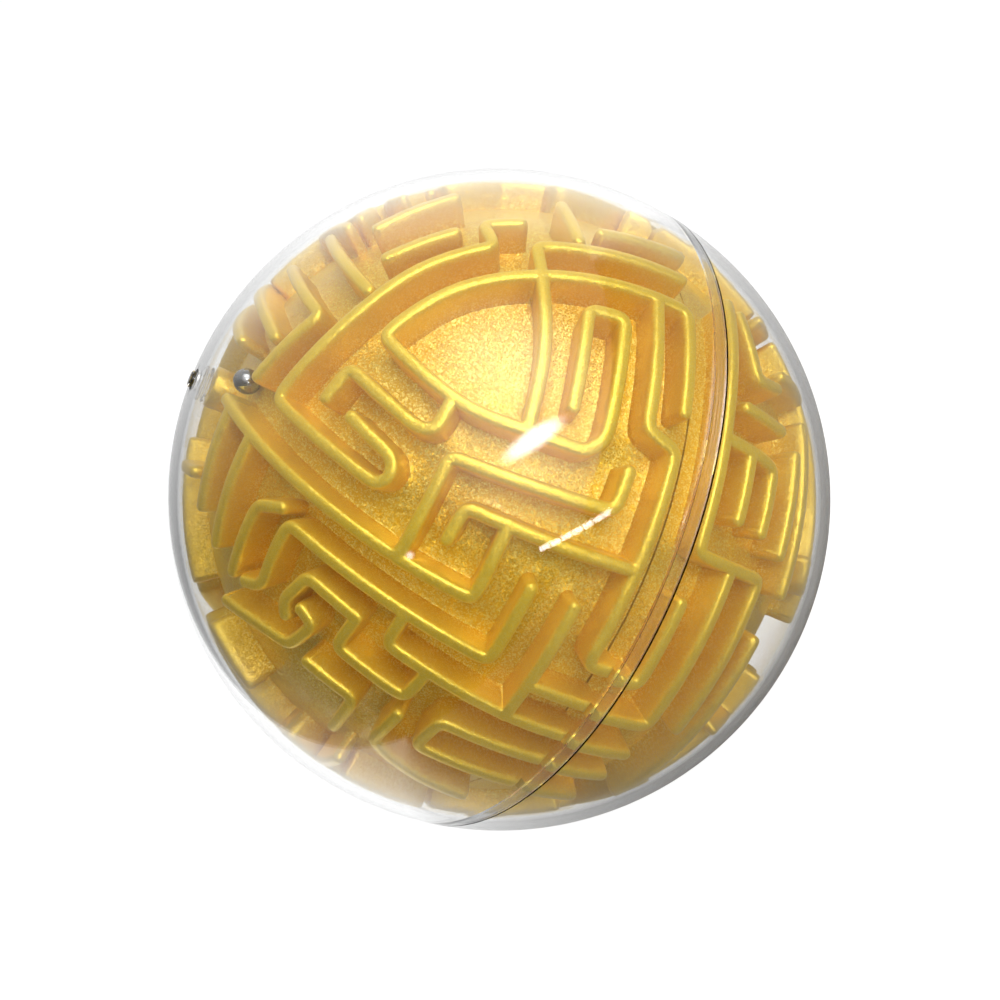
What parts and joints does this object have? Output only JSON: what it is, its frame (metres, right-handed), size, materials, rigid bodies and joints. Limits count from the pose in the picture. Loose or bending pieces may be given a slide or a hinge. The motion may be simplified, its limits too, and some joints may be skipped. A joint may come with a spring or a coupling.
{
  "type": "spherical maze game",
  "caption": "Clear two-part ball around a hollow core with raised maze walls; the core turns on pole pins and a steel marble rolls along its channels.",
  "frame": {"origin": "centre of the ball, on the pin axis, in the parting plane of the shell and of the core", "axes": "+Z along the pin axis to the upper pole, X and Y along the two other families of planes that the maze walls follow"},
  "size_m": [0.12, 0.12, 0.1212],
  "materials": {
    "clear_shell": "polished clear plastic",
    "clear_pin": "clear moulded plastic",
    "gold_core": "gold pearl moulded plastic with fine flake",
    "steel_marble": "polished steel"
  },
  "bodies": {
    "shell": {"shell_half_upper": "clear_shell", "shell_half_lower": "clear_shell", "pivot_pin_upper": "clear_pin", "pivot_pin_lower": "clear_pin"},
    "core": {"core_half_upper": "gold_core", "core_half_lower": "gold_core"},
    "marble": {"marble": "steel_marble"}
  },
  "joints": [
    {"name": "core_spin", "type": "hinge", "parent": "shell", "child": "core", "pos_m": [0, 0, 0], "axis": [0, 0, 1], "continuous": true},
    {"name": "marble_roll", "type": "hinge", "parent": "core", "child": "marble", "pos_m": [0, 0, 0], "axis": [0, 1, 0], "range_deg": [-25, 38]}
  ]
}
